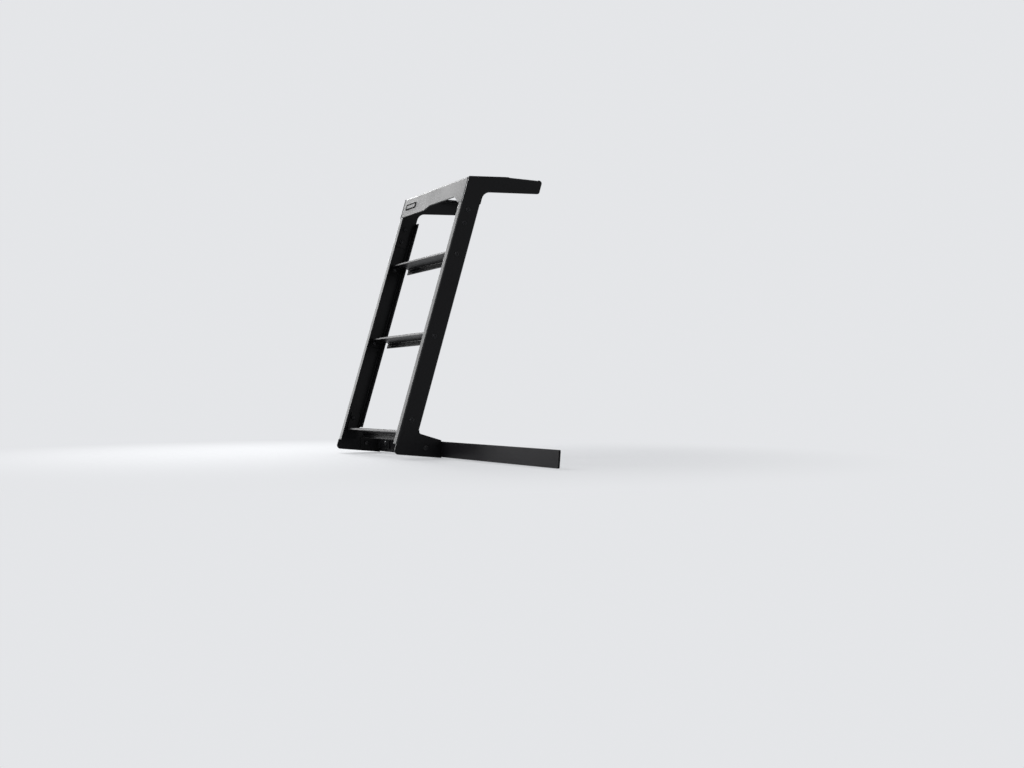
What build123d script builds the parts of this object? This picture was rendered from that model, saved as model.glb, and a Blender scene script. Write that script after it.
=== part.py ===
from build123d import *
import os
from math import cos, radians, sin, tan

os.makedirs("parts", exist_ok=True)

# Sheet and folds
sheet = 3.0              # thickness of every folded piece
fold_inside = 2.0        # inside radius of a fold
fold_outside = fold_inside + sheet
fold_land = fold_outside + 1.0   # fold with the straight sheet beside it

# Overall form: X runs across the ladder, Y towards the mounting side, Z up
lean = 16.3              # lean of the stiles towards the mounting side, in degrees
ladder_width = 395.0     # over the outer faces of the two stile webs
ladder_rise = 680.0      # from the start of the slope to the top of the header
rail_thickness = 4.0
rail_height = 38.0
foot_reach = 124.0       # from the start of the slope to the rail, level
slope_start_z = -4.0     # height of that start over the middle of the rail

# Stiles
stile_depth = 49.0       # square to the slope
outer_flange_width = 20.0  # both flanges turn towards the middle of the ladder
inner_flange_width = 24.0
outer_flange_start = 20.0
inner_flange_start = 67.0
inner_flange_drop = 56.5  # end of the inner flange below the top of the slope
flange_end_gap = 1.0     # between the outer flange and the header over it
foot_top = 60.0          # up the slope
foot_toe_drop = 6.0      # toe of the foot below the start of the slope
foot_heel_drop = 2.0     # heel of the foot below the rail
foot_corner_radius = 10.0
foot_inner_radius = 6.0

# Arms that run inwards from the top of the stiles
arm_reach = 210.0
arm_bend = 105.0         # the top edge climbs this far, then runs level
arm_climb = 7.0
arm_bend_radius = 220.0
arm_root_height = 37.0
arm_tip_height = 35.0
arm_root_radius = 25.0
arm_tip_radius = 7.0
arm_flange_width = 28.0
arm_flange_bend_gap = 8.0
arm_flange_tip_gap = 12.0
arm_slot_width = 8.5
arm_slot_length = 16.0
arm_slot_spacing = 50.0

# Header: the fascia at the top, its level top fold and the end tabs under it
fascia_deep = 54.5       # fascia on its deep side, down from the top of the slope
fascia_shallow = 45.5    # fascia on its shallow side
gusset_deep = 65.5
jog_start = -41.5
jog_end = -8.5
gusset_start = 139.5
gusset_end = 168.5
jog_radius = 14.0
gusset_radius = 4.0
header_fold_depth = 36.0
header_tab_deep = 133.5
header_tab_width = 37.0
header_bolt_drops = (117.5, 81.5)
header_bolt_depth = 20.0

# Treads
lower_tread_top = 57.5   # up the slope
middle_tread_top = 309.0
upper_tread_drop = 187.5  # below the top of the slope
tread_nose = 11.0        # lip behind the outer face of the stiles
tread_depth = 46.0
tread_lip = 7.0
tread_back = 17.0
tread_notch_gap = 1.0    # around the inner flange of a stile
tread_tab = 18.0
tread_bolt_drop = 10.5
tread_bolt_depth = 22.0
lower_tab = 45.0
lower_bolt_rise = 28.5

# Base rail and the cleats that tie the feet to it
rail_front_x = -215.0
rail_rear_x = 752.0
rail_end_slant = 5.0
rail_corner_radius = 3.0
cleat_height = 30.0
cleat_middle_z = 4.0
cleat_foot_leg = 56.0
cleat_rail_leg = 70.0
cleat_foot_bolt_y = -45.0
cleat_rail_bolt = 53.0   # from the outer face of the stile web

# Bolts
bolt = 6.0
bolt_clearance = 0.6
hole = bolt + bolt_clearance

# Values that follow from those above
half_width = ladder_width / 2
web_inside = half_width - sheet
lean_cos = cos(radians(lean))
lean_sin = sin(radians(lean))
lean_tan = tan(radians(lean))
rail_face_y = -rail_thickness
outer_y = rail_face_y - foot_reach
top_z = slope_start_z + ladder_rise
top_y = outer_y + ladder_rise * lean_tan
arm_top_z = top_z + arm_climb
slope_top = ladder_rise / lean_cos
fascia_low = slope_top - fascia_deep
fascia_high = slope_top - fascia_shallow
gusset_low = slope_top - gusset_deep
header_tab_low = slope_top - header_tab_deep
header_bolts = [slope_top - drop for drop in header_bolt_drops]
inner_flange_end = slope_top - inner_flange_drop
tread_tops = (lower_tread_top, middle_tread_top, slope_top - upper_tread_drop)
tread_tab_from = tread_nose + sheet
tread_tab_to = stile_depth - sheet - fold_outside
tread_bolts = (
    tread_tops[0] + lower_bolt_rise,
    tread_tops[1] - tread_bolt_drop,
    tread_tops[2] - tread_bolt_drop,
)
slope = Location((0, outer_y, slope_start_z), (-lean, 0, 0))


def level_point(depth, up):
    """Side-view point (Y, Z) at a depth behind the outer face and a distance up the slope."""
    y = outer_y + depth * lean_cos + up * lean_sin
    z = slope_start_z - depth * lean_sin + up * lean_cos
    return y, z


def block(x0, x1, y0, y1, z0, z1):
    """Box between two corners."""
    return Pos((x0 + x1) / 2, (y0 + y1) / 2, (z0 + z1) / 2) * Box(x1 - x0, y1 - y0, z1 - z0)


def cross_hole(x, y, z):
    """Cutter along X for a bolt through the sheet at x."""
    return Pos(x, y, z) * Rot(0, 90, 0) * Cylinder(hole / 2, 4 * sheet)


def rail_hole(x):
    """Cutter along Y for a bolt through the rail and a cleat."""
    return Pos(x, rail_face_y, cleat_middle_z) * Rot(90, 0, 0) * Cylinder(hole / 2, 6 * sheet)


def angle(flange, stub):
    """Section of a fold: outside corner at the origin, flange along -x and stub along -y."""
    return make_face(
        FilletPolyline(
            (-flange, 0),
            (0, 0),
            (0, -stub),
            (-sheet, -stub),
            (-sheet, -sheet),
            (-flange, -sheet),
            radius=[0, fold_outside, 0, 0, fold_inside, 0],
            close=True,
        )
    )


def folded(corner, turn, flange, stub, length):
    """Fold along turn from a corner on the stile side: flange to the middle, stub beside the web."""
    return extrude(Plane(corner, x_dir=(1, 0, 0), z_dir=turn) * angle(flange, stub), length)


def make_stile(outer_end):
    """Rear stile: web with foot and arm in one sheet, two long flanges and the arm's top flange."""
    arm_tip = top_y + arm_reach
    back_y, back_z = level_point(stile_depth, 0)
    root_z = top_z - arm_root_height
    foot_back = (foot_reach - foot_top * lean_sin) / lean_cos
    corners = [
        level_point(0, -foot_toe_drop),
        (top_y, top_z),
        (top_y + arm_bend, arm_top_z),
        (arm_tip, arm_top_z),
        (arm_tip - arm_tip_height * lean_tan, arm_top_z - arm_tip_height),
        (back_y + (root_z - back_z) * lean_tan, root_z),
        level_point(stile_depth, foot_top),
        level_point(foot_back, foot_top),
        (rail_face_y, -rail_height / 2 - foot_heel_drop),
    ]
    radii = [
        foot_corner_radius,
        0,
        arm_bend_radius,
        arm_tip_radius,
        arm_tip_radius,
        arm_root_radius,
        foot_inner_radius,
        0,
        0,
    ]
    outline = make_face(FilletPolyline(*corners, radius=radii, close=True))
    stile = extrude(Plane.YZ.offset(web_inside) * outline, sheet)

    flange_start = top_y + arm_bend + arm_flange_bend_gap
    flange_end = arm_tip - arm_flange_tip_gap
    arm_flange = folded(
        (half_width, flange_end, arm_top_z), (0, -1, 0), arm_flange_width, fold_land, flange_end - flange_start
    )
    stile = stile - block(web_inside, half_width, flange_start, flange_end, arm_top_z - fold_land, arm_top_z)
    stile = stile + arm_flange
    slot_x = web_inside - (arm_flange_width - sheet) / 2
    for side in (-1, 1):
        slot_y = (flange_start + flange_end + side * arm_slot_spacing) / 2
        slot = Pos(slot_x, slot_y, arm_top_z) * SlotOverall(arm_slot_length, arm_slot_width)
        stile = stile - extrude(slot, 2 * sheet, both=True)
    stile = stile - cross_hole(half_width, cleat_foot_bolt_y, cleat_middle_z)

    stile = stile.moved(slope.inverse())
    outer_flange = folded(
        (half_width, 0, outer_end), (0, 0, -1), outer_flange_width, fold_land, outer_end - outer_flange_start
    )
    inner_flange = folded(
        (half_width, stile_depth, inner_flange_start),
        (0, 0, 1),
        inner_flange_width,
        fold_land,
        inner_flange_end - inner_flange_start,
    )
    outer_corner = block(web_inside, half_width, 0, fold_land, outer_flange_start, outer_end)
    inner_corner = block(
        web_inside,
        half_width,
        stile_depth - fold_land,
        stile_depth,
        inner_flange_start,
        inner_flange_end,
    )
    stile = stile - outer_corner - inner_corner + outer_flange + inner_flange
    for up in tread_bolts:
        stile = stile - cross_hole(half_width, tread_bolt_depth, up)
    for up in header_bolts:
        stile = stile - cross_hole(half_width, header_bolt_depth, up)
    return stile.moved(slope)


def make_tread(top, bolt_up):
    """Tread: plate square to the stiles, outer lip, back fold and a bolted end tab at each stile."""
    back = tread_nose + tread_depth
    low = top - tread_back
    section = make_face(
        FilletPolyline(
            (tread_nose, top - tread_lip),
            (tread_nose, top),
            (back, top),
            (back, low),
            (back - sheet, low),
            (back - sheet, top - sheet),
            (tread_nose + sheet, top - sheet),
            (tread_nose + sheet, top - tread_lip),
            radius=[0, fold_outside, fold_outside, 0, 0, fold_inside, fold_inside, 0],
            close=True,
        )
    )
    tread = extrude(Plane.YZ * section, web_inside - fold_land, both=True)
    notch_x = half_width - inner_flange_width - tread_notch_gap
    notch_y = stile_depth - sheet - tread_notch_gap
    notch = block(notch_x, half_width, notch_y, back + sheet, low - sheet, top + sheet)
    tread = tread - notch - mirror(notch, about=Plane.YZ)
    tab_width = tread_tab_to - tread_tab_from
    if bolt_up < top:
        tab = folded((web_inside, tread_tab_to, top), (0, -1, 0), fold_land, tread_tab, tab_width)
    else:
        tab = folded((web_inside, tread_tab_from, top - sheet), (0, 1, 0), fold_land, lower_tab, tab_width)
    tab = tab - cross_hole(web_inside, tread_bolt_depth, bolt_up)
    tread = tread + tab + mirror(tab, about=Plane.YZ)
    return tread.moved(slope)


def make_header():
    """Fascia flush with the outer flanges, with a level top fold and bolted end tabs."""
    body_end = web_inside - fold_land
    back_up = (ladder_rise - sheet + sheet * lean_sin) / lean_cos
    section = make_face(
        FilletPolyline(
            level_point(0, gusset_low),
            (top_y, top_z),
            (top_y + header_fold_depth, top_z),
            (top_y + header_fold_depth, top_z - sheet),
            level_point(sheet, back_up),
            level_point(sheet, gusset_low),
            radius=[0, fold_outside, 0, 0, fold_inside, 0],
            close=True,
        )
    )
    header = extrude(Plane.YZ * section, body_end, both=True).moved(slope.inverse())
    below = make_face(
        FilletPolyline(
            (-ladder_width, header_tab_low),
            (-ladder_width, fascia_low),
            (jog_start, fascia_low),
            (jog_end, fascia_high),
            (gusset_start, fascia_high),
            (gusset_end, gusset_low),
            (gusset_end, header_tab_low),
            radius=[0, 0, jog_radius, jog_radius, gusset_radius, 0, 0],
            close=True,
        )
    )
    header = header - extrude(Plane.XZ * below, stile_depth, both=True)
    tab_top = slope_top - fold_land
    for side, low in ((-1, fascia_low), (1, gusset_low)):
        corner = folded((web_inside, 0, tab_top), (0, 0, -1), fold_land, header_tab_width, tab_top - low)
        tongue = block(
            web_inside - sheet,
            web_inside,
            fold_land,
            header_tab_width,
            header_tab_low,
            low,
        )
        tab = corner + tongue
        for up in header_bolts:
            tab = tab - cross_hole(web_inside, header_bolt_depth, up)
        header = header + (tab if side > 0 else mirror(tab, about=Plane.YZ))
    return header.moved(slope)


def make_cleat():
    """Rear cleat: an angle with one leg on the foot and one on the rail."""
    low = cleat_middle_z - cleat_height / 2
    cleat = folded((web_inside, rail_face_y, low), (0, 0, 1), cleat_rail_leg, cleat_foot_leg, cleat_height)
    cleat = cleat - cross_hole(web_inside, cleat_foot_bolt_y, cleat_middle_z)
    return cleat - rail_hole(half_width - cleat_rail_bolt)


def make_rail():
    """Base rail: a flat bar with its back face on the mounting plane."""
    half = rail_height / 2
    outline = make_face(
        FilletPolyline(
            (rail_front_x, -half),
            (rail_rear_x - rail_end_slant, -half),
            (rail_rear_x, half),
            (rail_front_x, half),
            radius=rail_corner_radius,
            close=True,
        )
    )
    rail = extrude(Plane.XZ * outline, rail_thickness)
    for side in (-1, 1):
        rail = rail - rail_hole(side * (half_width - cleat_rail_bolt))
    return rail


rear_cleat = make_cleat()
pieces = {
    "front_stile": mirror(make_stile(fascia_low - flange_end_gap), about=Plane.YZ),
    "rear_stile": make_stile(gusset_low - flange_end_gap),
    "header": make_header(),
    "upper_tread": make_tread(tread_tops[2], tread_bolts[2]),
    "middle_tread": make_tread(tread_tops[1], tread_bolts[1]),
    "lower_tread": make_tread(tread_tops[0], tread_bolts[0]),
    "front_cleat": mirror(rear_cleat, about=Plane.YZ),
    "rear_cleat": rear_cleat,
    "base_rail": make_rail(),
}
for name, piece in pieces.items():
    export_step(piece, f"parts/{name}.step")
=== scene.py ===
import math

import bmesh
import bpy
from mathutils import Matrix, Vector


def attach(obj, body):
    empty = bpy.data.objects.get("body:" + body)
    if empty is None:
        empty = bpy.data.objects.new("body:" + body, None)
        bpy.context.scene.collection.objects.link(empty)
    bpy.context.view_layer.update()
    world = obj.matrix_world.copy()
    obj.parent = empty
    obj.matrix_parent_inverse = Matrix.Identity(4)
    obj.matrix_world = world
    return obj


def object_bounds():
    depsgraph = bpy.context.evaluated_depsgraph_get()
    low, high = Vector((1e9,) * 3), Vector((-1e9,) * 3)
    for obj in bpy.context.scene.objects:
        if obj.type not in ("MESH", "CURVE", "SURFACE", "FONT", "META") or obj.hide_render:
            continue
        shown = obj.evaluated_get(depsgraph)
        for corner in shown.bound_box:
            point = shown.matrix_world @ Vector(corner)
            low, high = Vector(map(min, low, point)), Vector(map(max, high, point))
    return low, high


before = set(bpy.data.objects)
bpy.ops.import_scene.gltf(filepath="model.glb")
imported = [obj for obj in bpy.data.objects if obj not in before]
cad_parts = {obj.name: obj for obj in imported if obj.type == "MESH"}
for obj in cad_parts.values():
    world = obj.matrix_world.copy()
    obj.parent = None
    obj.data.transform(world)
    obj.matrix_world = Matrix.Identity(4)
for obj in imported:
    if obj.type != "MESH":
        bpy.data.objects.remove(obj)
cad_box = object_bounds()
scene = bpy.context.scene
scene.view_settings.view_transform = "Standard"

# Sizes repeated from the part, in metres
LEAN = math.radians(16.3)
OUTER_Y = -0.128            # outer face at the start of the slope
SLOPE_Z = -0.004            # height of that start
RISE = 0.680
HALF = 0.1975               # half the width over the stiles
SHEET = 0.003
SLOPE_TOP = RISE / math.cos(LEAN)
TREAD_BOLTS = (0.086, 0.2985, SLOPE_TOP - 0.198)   # up the slope
TREAD_BOLT_DEPTH = 0.022    # behind the outer face
HEADER_BOLTS = (SLOPE_TOP - 0.1175, SLOPE_TOP - 0.0815)
HEADER_BOLT_DEPTH = 0.020
FOOT_BOLT_Y = -0.045
CLEAT_Z = 0.004
CLEAT_FACE_Y = -0.007
RAIL_BOLT_X = 0.1445

# The leaning frame: X across, Y behind the outer face, Z up the slope
SLOPE = Matrix.Translation((0, OUTER_Y, SLOPE_Z)) @ Matrix.Rotation(-LEAN, 4, "X")
# Turns a piece's own Z axis outwards, to -Y
OUTWARDS = Matrix.Rotation(math.pi / 2, 4, "X")


# Materials

def add(tree, kind, **inputs):
    """New node with some of its inputs set; an underscore stands for a space in an input's name."""
    node = tree.nodes.new(kind)
    for name, value in inputs.items():
        node.inputs[name.replace("_", " ")].default_value = value
    return node


def links(tree, *pairs):
    """Links each output to the input beside it."""
    for output, target in pairs:
        tree.links.new(output, target)


def backdrop_rays(tree):
    """Socket that is 1 for the rays that see the backdrop: camera, glossy and transmitted ones."""
    path = add(tree, "ShaderNodeLightPath")
    socket = path.outputs["Is Camera Ray"]
    for ray in ("Is Glossy Ray", "Is Transmission Ray"):
        either = add(tree, "ShaderNodeMath")
        either.operation = "MAXIMUM"
        links(tree, (socket, either.inputs[0]), (path.outputs[ray], either.inputs[1]))
        socket = either.outputs["Value"]
    return socket


def coat(name, base, rough, grain, wear, shine=0.13):
    """Powder coat: fine orange peel, uneven gloss, a little dust and rubbed edges."""
    mat = bpy.data.materials.new(name)
    mat.use_nodes = True
    tree = mat.node_tree
    shader = tree.nodes["Principled BSDF"]
    shader.inputs["Specular IOR Level"].default_value = shine

    place = add(tree, "ShaderNodeTexCoord")
    peel = add(tree, "ShaderNodeTexNoise", Scale=grain, Detail=3)
    cloud = add(tree, "ShaderNodeTexNoise", Scale=14, Detail=4)
    gloss = add(
        tree, "ShaderNodeMapRange", From_Min=0.3, From_Max=0.7, To_Min=rough - 0.03, To_Max=rough + 0.04
    )
    links(
        tree,
        (place.outputs["Object"], peel.inputs["Vector"]),
        (place.outputs["Object"], cloud.inputs["Vector"]),
        (cloud.outputs["Fac"], gloss.inputs["Value"]),
        (gloss.outputs["Result"], shader.inputs["Roughness"]),
    )

    # The rounded normal differs from the face's own only along edges, which are rubbed in patches
    edge = add(tree, "ShaderNodeBevel", Radius=0.0016)
    edge.samples = 6
    face = add(tree, "ShaderNodeNewGeometry")
    turn = add(tree, "ShaderNodeVectorMath")
    turn.operation = "DOT_PRODUCT"
    rub = add(tree, "ShaderNodeMapRange", From_Min=0.98, From_Max=0.72)
    worn = add(tree, "ShaderNodeMath")
    worn.operation = "MULTIPLY"
    links(
        tree,
        (edge.outputs["Normal"], turn.inputs[0]),
        (face.outputs["Normal"], turn.inputs[1]),
        (turn.outputs["Value"], rub.inputs["Value"]),
        (rub.outputs["Result"], worn.inputs[0]),
        (cloud.outputs["Fac"], worn.inputs[1]),
    )

    dust = add(tree, "ShaderNodeMix")
    dust.data_type = "RGBA"
    dust.inputs["A"].default_value = (*[c * 0.86 for c in base], 1)
    dust.inputs["B"].default_value = (*[c * 1.2 + 0.001 for c in base], 1)
    rubbed = add(tree, "ShaderNodeMix")
    rubbed.data_type = "RGBA"
    rubbed.inputs["B"].default_value = (*wear, 1)
    bump = add(tree, "ShaderNodeBump", Strength=0.12, Distance=0.0004)
    links(
        tree,
        (cloud.outputs["Fac"], dust.inputs["Factor"]),
        (worn.outputs["Value"], rubbed.inputs["Factor"]),
        (dust.outputs["Result"], rubbed.inputs["A"]),
        (rubbed.outputs["Result"], shader.inputs["Base Color"]),
        (peel.outputs["Fac"], bump.inputs["Height"]),
        (edge.outputs["Normal"], bump.inputs["Normal"]),
        (bump.outputs["Normal"], shader.inputs["Normal"]),
    )
    return mat


COAT_GRAIN = 900
COAT_WEAR = (0.05, 0.05, 0.052)
powder = coat("satin_black_powder_coat", (0.007, 0.007, 0.0078), 0.38, COAT_GRAIN, COAT_WEAR)
# The base rail has the same black powder coat as the rest; its lower shine is painted shade, which makes the
# rail darker as if something shaded it.
rail_powder_shaded = coat("black_powder_coat_painted_shade", (0.007, 0.0065, 0.0078), 0.36, COAT_GRAIN, COAT_WEAR, 0.08)
black_zinc = coat("black_zinc", (0.014, 0.014, 0.016), 0.28, 2500, (0.12, 0.12, 0.125))
# Near-black rim that hardly reflects: painted shadow, a dark outline round the blank plate in place of the
# shadow of a gap.
painted_shadow_rim = coat("painted_shadow_rim", (0.004, 0.004, 0.004), 0.85, 1500, (0.01, 0.01, 0.01), 0.02)
for name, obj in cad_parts.items():
    obj.data.materials.clear()
    obj.data.materials.append(rail_powder_shaded if name == "base_rail" else powder)


# Bolts and the blank plate

def skin(bm, rings):
    """Faces between rings of as many vertices each, closed at both ends; gives the last face."""
    for low, high in zip(rings, rings[1:]):
        for k in range(len(low)):
            j = (k + 1) % len(low)
            bm.faces.new((low[k], low[j], high[j], high[k]))
    bm.faces.new(rings[0][::-1])
    return bm.faces.new(rings[-1])


def turned(bm, place, profile, sides=24):
    """Turned shape round the local Z axis; a third number in a point makes that ring a hexagon."""
    rings = []
    for radius, height, *flat in profile:
        ring = []
        for k in range(sides):
            a = 2 * math.pi * k / sides
            r = radius
            if flat:
                r = radius / math.cos((a + math.pi / 6) % (math.pi / 3) - math.pi / 6)
            ring.append(bm.verts.new(place @ Vector((r * math.cos(a), r * math.sin(a), height))))
        rings.append(ring)
    skin(bm, rings)


def piece(name, bm, mats):
    """Object from a bmesh, shaded smooth between its sharp edges, riding on the root body."""
    bmesh.ops.recalc_face_normals(bm, faces=bm.faces)
    mesh = bpy.data.meshes.new(name)
    bm.to_mesh(mesh)
    bm.free()
    for mat in mats:
        mesh.materials.append(mat)
    mesh.shade_smooth()
    mesh.set_sharp_from_angle(angle=math.radians(32))
    obj = bpy.data.objects.new(name, mesh)
    scene.collection.objects.link(obj)
    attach(obj, "root")


# Profiles as radius and height over the clamped face
SEAT = 0.0012               # top of the washer, under the head
WASHER = ((0.0033, 0), (0.0059, 0), (0.0061, 0.0002), (0.0061, 0.0010), (0.0059, SEAT), (0.0033, SEAT))
HEAD = (
    (0.0030, SEAT),
    (0.0050, SEAT),
    (0.00525, 0.0015),
    (0.00520, 0.0020),
    (0.0047, 0.0029),
    (0.0039, 0.0037),
    (0.0030, 0.0042),
    (0.0024, 0.0044),
    (0.0020, 0.0043, 1),
    (0.0020, 0.0024, 1),
    (0.0012, 0.0020),
)
NUT = (
    (0.0033, 0),
    (0.0046, 0),
    (0.0050, 0.0004, 1),
    (0.0050, 0.0046, 1),
    (0.0046, 0.0050),
    (0.0043, 0.0050),
    (0.0043, 0.0058),
    (0.0038, 0.0062),
    (0.0031, 0.0062),
)
SHANK = 0.0030              # radius of the shank and of the thread's crests
ROOT = 0.0026               # radius at the thread's roots
TIP = ((0.0024, 0), (0.0029, 0.0006))
FIRST_CREST = 0.0008        # over the tip
FIRST_ROOT = 0.0013
PITCH = 0.001
# Reach of the tip past the clamped sheets, turns of thread, and start of the plain shank over their far face
NUTTED = (0.0085, 3, 0.0005)
BLIND = (-0.0002, 1, 0.0030)


def bolt(name, place, grip, nut=True):
    """Button-head bolt with washer; place has Z out of the clamped face, the nut is under the grip."""
    bm = bmesh.new()
    turned(bm, place, WASHER)
    turned(bm, place, HEAD)
    reach, turns, plain = NUTTED if nut else BLIND
    end = -grip - reach
    shank = [(radius, end + height) for radius, height in TIP]
    for k in range(turns):
        shank += [(SHANK, end + FIRST_CREST + PITCH * k), (ROOT, end + FIRST_ROOT + PITCH * k)]
    shank += [(SHANK, -grip + plain), (SHANK, SEAT)]
    turned(bm, place, shank, 16)
    if nut:
        turned(bm, place @ Matrix.Translation((0, 0, -grip)) @ Matrix.Rotation(math.pi, 4, "X"), NUT)
    piece(name, bm, [black_zinc])


def across(side, at):
    """Place on the outer face of a stile web, Z pointing out of it, X up the piece."""
    out = Matrix(((0, 0, 1), (0, -1, 0), (1, 0, 0))).to_4x4()
    turn = Matrix.Rotation(0 if side > 0 else math.pi, 4, "Z")
    return Matrix.Translation(at) @ turn @ out


SLOPE_ROWS = (("tread", TREAD_BOLTS, TREAD_BOLT_DEPTH), ("header", HEADER_BOLTS, HEADER_BOLT_DEPTH))
for side, end in ((-1, "front"), (1, "rear")):
    for label, rows, depth in SLOPE_ROWS:
        for k, up in enumerate(rows):
            on_web = SLOPE @ across(side, (side * HALF, depth, up))
            bolt(f"bolt_{end}_{label}_{k + 1}", on_web, 2 * SHEET)
    bolt(f"bolt_{end}_foot", across(side, (side * HALF, FOOT_BOLT_Y, CLEAT_Z)), 2 * SHEET)
    on_cleat = Matrix.Translation((side * RAIL_BOLT_X, CLEAT_FACE_Y, CLEAT_Z)) @ OUTWARDS
    bolt(f"bolt_{end}_rail", on_cleat, -CLEAT_FACE_Y, nut=False)


def rounded(width, height, radius, level, steps=5):
    """Points of a rounded rectangle round the local Z axis at a level."""
    points = []
    for cx, cy, start in ((1, 1, 0), (-1, 1, 90), (-1, -1, 180), (1, -1, 270)):
        for k in range(steps + 1):
            a = math.radians(start + 90 * k / steps)
            x = cx * (width / 2 - radius) + radius * math.cos(a)
            y = cy * (height / 2 - radius) + radius * math.sin(a)
            points.append((x, y, level))
    return points


PLATE_WIDTH = 0.062
PLATE_HEIGHT = 0.0165
PLATE_PLACE = (-0.1415, 0, 0.681)   # in the leaning frame
PLATE_STEPS = (                     # inset, corner radius and level, from the back to the sunk field
    (0, 0.0026, -0.0002),
    (0, 0.0026, 0.0010),
    (0.0003, 0.0023, 0.0013),
    (0.0030, 0.0010, 0.0013),
    (0.0033, 0.0008, 0.0007),
)
on_fascia = SLOPE @ Matrix.Translation(PLATE_PLACE) @ OUTWARDS
bm = bmesh.new()
loops = []
for inset, radius, level in PLATE_STEPS:
    loop = rounded(PLATE_WIDTH - 2 * inset, PLATE_HEIGHT - 2 * inset, radius, level)
    loops.append([bm.verts.new(on_fascia @ Vector(p)) for p in loop])
field = skin(bm, loops)
field.material_index = 1
# The plate's rim carries the painted shadow outline; its sunk field has the powder coat.
piece("blank_plate", bm, [painted_shadow_rim, powder])


# Stage: pale seamless floor, soft light and the photo's camera

PALE = (0.78, 0.79, 0.81, 1)
FLOOR_SIZE = 60
FLOOR_GAP = 0.0005          # under the lowest point of the part
FADE_FROM = 0.2             # distances from the origin
FADE_TO = 1.3
FADE_LEAST = 0.4
FILL_COLOUR = (0.92, 0.95, 1, 1)
FILL_STRENGTH = 0.11


def fading_floor(name):
    """Pale floor that takes soft shadows near the part and fades into the backdrop further out."""
    mat = bpy.data.materials.new(name)
    mat.use_nodes = True
    tree = mat.node_tree
    shader = tree.nodes["Principled BSDF"]
    shader.inputs["Base Color"].default_value = PALE
    shader.inputs["Roughness"].default_value = 0.8
    glow = add(tree, "ShaderNodeEmission", Color=PALE)
    place = add(tree, "ShaderNodeNewGeometry")
    reach = add(tree, "ShaderNodeVectorMath")
    reach.operation = "LENGTH"
    fade = add(tree, "ShaderNodeMapRange", From_Min=FADE_FROM, From_Max=FADE_TO, To_Min=FADE_LEAST)
    fade.interpolation_type = "SMOOTHSTEP"
    seen = add(tree, "ShaderNodeMath")
    seen.operation = "MULTIPLY"
    mix = add(tree, "ShaderNodeMixShader")
    links(
        tree,
        (place.outputs["Position"], reach.inputs[0]),
        (reach.outputs["Value"], fade.inputs["Value"]),
        (fade.outputs["Result"], seen.inputs[0]),
        (backdrop_rays(tree), seen.inputs[1]),
        (seen.outputs["Value"], mix.inputs["Fac"]),
        (shader.outputs["BSDF"], mix.inputs[1]),
        (glow.outputs["Emission"], mix.inputs[2]),
        (mix.outputs["Shader"], tree.nodes["Material Output"].inputs["Surface"]),
    )
    return mat


bpy.ops.mesh.primitive_plane_add(size=FLOOR_SIZE, location=(0, 0, cad_box[0].z - FLOOR_GAP))
floor = bpy.context.object
floor.name = "floor"
floor.data.materials.append(fading_floor("floor_pale"))

world = bpy.data.worlds.new("studio")
scene.world = world
world.use_nodes = True
tree = world.node_tree
fill = tree.nodes["Background"]
fill.inputs["Color"].default_value = FILL_COLOUR
fill.inputs["Strength"].default_value = FILL_STRENGTH
pale = add(tree, "ShaderNodeBackground", Color=PALE)
mix = add(tree, "ShaderNodeMixShader")
links(
    tree,
    (backdrop_rays(tree), mix.inputs["Fac"]),
    (fill.outputs["Background"], mix.inputs[1]),
    (pale.outputs["Background"], mix.inputs[2]),
    (mix.outputs["Shader"], tree.nodes["World Output"].inputs["Surface"]),
)

MIDDLE = Vector((0, 0, 0.33))


def softbox(name, offset, size, power):
    """Rectangular lamp at an offset from the middle of the ladder, facing it."""
    lamp = bpy.data.lights.new(name, "AREA")
    lamp.shape = "RECTANGLE"
    lamp.size, lamp.size_y = size
    lamp.energy = power
    obj = bpy.data.objects.new(name, lamp)
    scene.collection.objects.link(obj)
    at = MIDDLE + Vector(offset)
    obj.location = at
    obj.rotation_euler = (MIDDLE - at).to_track_quat("-Z", "Y").to_euler()


softbox("key", (-2.3, -0.76, 0.82), (1.6, 2.4), 57)
softbox("side", (-0.2, -2.4, 1.9), (1.8, 1.8), 55)
softbox("edge", (-2.4, 0.35, 1.05), (0.5, 1.0), 32)

IMAGE_WIDTH = 1024          # pixels
FOCAL_LENGTH = 1155.1       # pixels
SENSOR_WIDTH = 36
CAMERA_PLACE = (2.749, -1.2134, 0.116)
YAW = math.radians(28.8538)
PITCH_UP = math.radians(0.8852)
ROLL = math.radians(0.0917)

camera = bpy.data.cameras.new("camera")
camera.sensor_width = SENSOR_WIDTH
camera.lens = FOCAL_LENGTH * SENSOR_WIDTH / IMAGE_WIDTH
camera.clip_end = 200
view = bpy.data.objects.new("camera", camera)
scene.collection.objects.link(view)
look = Vector((-math.cos(YAW) * math.cos(PITCH_UP), math.sin(YAW) * math.cos(PITCH_UP), math.sin(PITCH_UP)))
level = look.cross(Vector((0, 0, 1))).normalized()
upright = level.cross(look)
right = level * math.cos(ROLL) + upright * math.sin(ROLL)
up = upright * math.cos(ROLL) - level * math.sin(ROLL)
turn = Matrix((right, up, -look)).transposed().to_4x4()
view.matrix_world = Matrix.Translation(CAMERA_PLACE) @ turn
scene.camera = view
